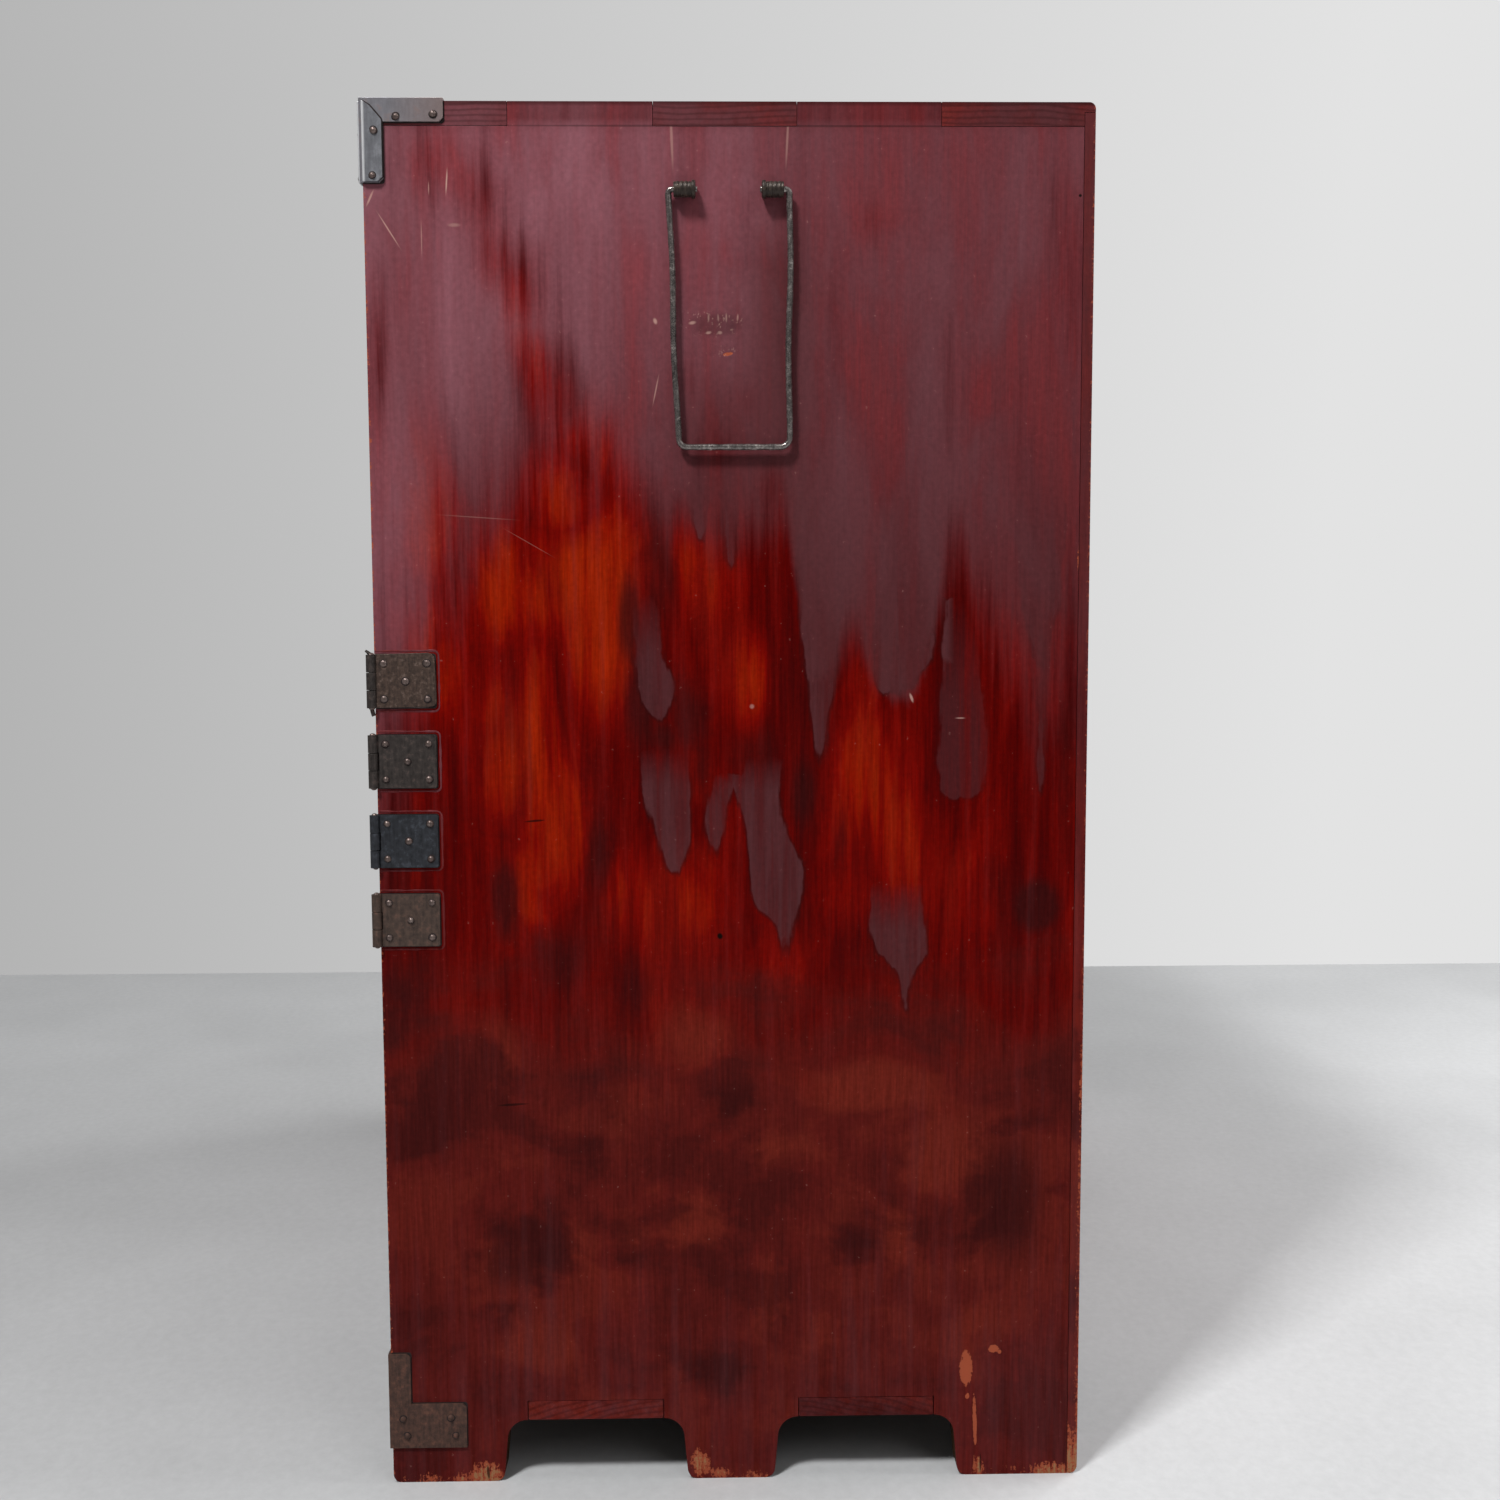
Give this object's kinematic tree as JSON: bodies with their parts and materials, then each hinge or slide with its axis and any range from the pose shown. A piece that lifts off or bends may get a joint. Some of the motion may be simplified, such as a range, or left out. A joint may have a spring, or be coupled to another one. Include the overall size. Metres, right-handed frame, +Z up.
{
  "type": "ship chest",
  "caption": "Tall lacquered wooden ship chest on arched feet, with drawers, a hinged safe door, a sliding-door cupboard and lifting side bails.",
  "frame": {"origin": "on the floor, under the middle of the bounding box, which reaches from the drawer pulls to the back boards", "axes": "+Z up, front with the drawers towards -Y, hinge side of the safe door towards +X"},
  "size_m": [0.8386, 0.4592, 0.8815],
  "materials": {
    "lacquered_wood": "worn gloss lacquer",
    "bare_wood": "planed, unfinished",
    "black_iron": "forged, blackened",
    "brown_iron": "sheet, rusty brown",
    "bright_iron": "sheet, dull grey"
  },
  "bodies": {
    "case": {"right_side_panel": "lacquered_wood", "left_side_panel": "lacquered_wood", "top_board": "lacquered_wood", "bottom_board": "lacquered_wood", "back_board_1": "lacquered_wood", "back_board_2": "lacquered_wood", "back_board_3": "lacquered_wood", "drawer_dust_board": "bare_wood", "lower_shelf": "lacquered_wood", "upper_shelf": "lacquered_wood", "middle_partition": "lacquered_wood", "small_drawer_divider": "lacquered_wood", "sliding_door_track_lower": "lacquered_wood", "sliding_door_track_upper": "lacquered_wood", "right_bail_eye_front": "black_iron", "right_bail_eye_back": "black_iron", "right_top_bracket": "bright_iron", "right_bottom_bracket": "brown_iron", "left_bail_eye_front": "black_iron", "left_bail_eye_back": "black_iron", "left_top_bracket": "bright_iron", "left_bottom_bracket": "brown_iron", "hinge_side_leaf_1": "brown_iron", "hinge_side_leaf_2": "brown_iron", "hinge_side_leaf_3": "brown_iron", "hinge_side_leaf_4": "brown_iron"},
    "right_carry_bail": {"right_carry_bail": "black_iron"},
    "left_carry_bail": {"left_carry_bail": "black_iron"},
    "lower_drawer": {"lower_drawer_front": "lacquered_wood", "lower_drawer_left_side": "bare_wood", "lower_drawer_right_side": "bare_wood", "lower_drawer_back": "bare_wood", "lower_drawer_bottom": "bare_wood", "lower_drawer_pull_plate": "black_iron"},
    "middle_drawer": {"middle_drawer_front": "lacquered_wood", "middle_drawer_left_side": "bare_wood", "middle_drawer_right_side": "bare_wood", "middle_drawer_back": "bare_wood", "middle_drawer_bottom": "bare_wood", "middle_drawer_pull_plate": "black_iron"},
    "small_drawer_lower": {"small_drawer_lower_front": "lacquered_wood", "small_drawer_lower_frame": "bare_wood", "small_drawer_lower_bottom": "bare_wood", "small_drawer_lower_pull_plate": "black_iron"},
    "small_drawer_upper": {"small_drawer_upper_front": "lacquered_wood", "small_drawer_upper_frame": "bare_wood", "small_drawer_upper_bottom": "bare_wood", "small_drawer_upper_pull_plate": "black_iron"},
    "lower_drawer_pull": {"lower_drawer_pull": "black_iron"},
    "middle_drawer_pull": {"middle_drawer_pull": "black_iron"},
    "small_drawer_lower_pull": {"small_drawer_lower_pull": "black_iron"},
    "small_drawer_upper_pull": {"small_drawer_upper_pull": "black_iron"},
    "safe_door": {"safe_door": "lacquered_wood", "safe_door_lock_plate": "black_iron", "hinge_door_leaf_1": "brown_iron", "hinge_door_leaf_2": "brown_iron", "hinge_door_leaf_3": "brown_iron", "hinge_door_leaf_4": "brown_iron"},
    "sliding_door_right": {"sliding_door_right": "lacquered_wood"},
    "sliding_door_left": {"sliding_door_left": "lacquered_wood"}
  },
  "joints": [
    {"name": "right_carry_bail_swing", "type": "hinge", "parent": "case", "child": "right_carry_bail", "pos_m": [0.4148, 0.00335, 0.8263], "axis": [0, -1, 0], "range_deg": [0, 180]},
    {"name": "left_carry_bail_swing", "type": "hinge", "parent": "case", "child": "left_carry_bail", "pos_m": [-0.4148, 0.00335, 0.8263], "axis": [0, 1, 0], "range_deg": [0, 180]},
    {"name": "safe_door_swing", "type": "hinge", "parent": "case", "child": "safe_door", "pos_m": [0.4115, -0.2223, 0.45], "axis": [0, 0, 1], "range_deg": [0, 260]},
    {"name": "sliding_door_right_slide", "type": "slide", "parent": "case", "child": "sliding_door_right", "axis": [-1, 0, 0], "range_m": [0, 0.385]},
    {"name": "sliding_door_left_slide", "type": "slide", "parent": "case", "child": "sliding_door_left", "axis": [1, 0, 0], "range_m": [0, 0.385]},
    {"name": "lower_drawer_slide", "type": "slide", "parent": "case", "child": "lower_drawer", "axis": [0, -1, 0], "range_m": [0, 0.36]},
    {"name": "lower_drawer_pull_swing", "type": "hinge", "parent": "lower_drawer", "child": "lower_drawer_pull", "pos_m": [0, -0.22575, 0.13605], "axis": [-1, 0, 0], "range_deg": [0, 100]},
    {"name": "middle_drawer_slide", "type": "slide", "parent": "case", "child": "middle_drawer", "axis": [0, -1, 0], "range_m": [0, 0.36]},
    {"name": "middle_drawer_pull_swing", "type": "hinge", "parent": "middle_drawer", "child": "middle_drawer_pull", "pos_m": [0, -0.22575, 0.28305], "axis": [-1, 0, 0], "range_deg": [0, 100]},
    {"name": "small_drawer_lower_slide", "type": "slide", "parent": "case", "child": "small_drawer_lower", "axis": [0, -1, 0], "range_m": [0, 0.36]},
    {"name": "small_drawer_lower_pull_swing", "type": "hinge", "parent": "small_drawer_lower", "child": "small_drawer_lower_pull", "pos_m": [-0.137, -0.22575, 0.41105], "axis": [-1, 0, 0], "range_deg": [0, 100]},
    {"name": "small_drawer_upper_slide", "type": "slide", "parent": "case", "child": "small_drawer_upper", "axis": [0, -1, 0], "range_m": [0, 0.36]},
    {"name": "small_drawer_upper_pull_swing", "type": "hinge", "parent": "small_drawer_upper", "child": "small_drawer_upper_pull", "pos_m": [-0.137, -0.22575, 0.51605], "axis": [-1, 0, 0], "range_deg": [0, 100]}
  ]
}
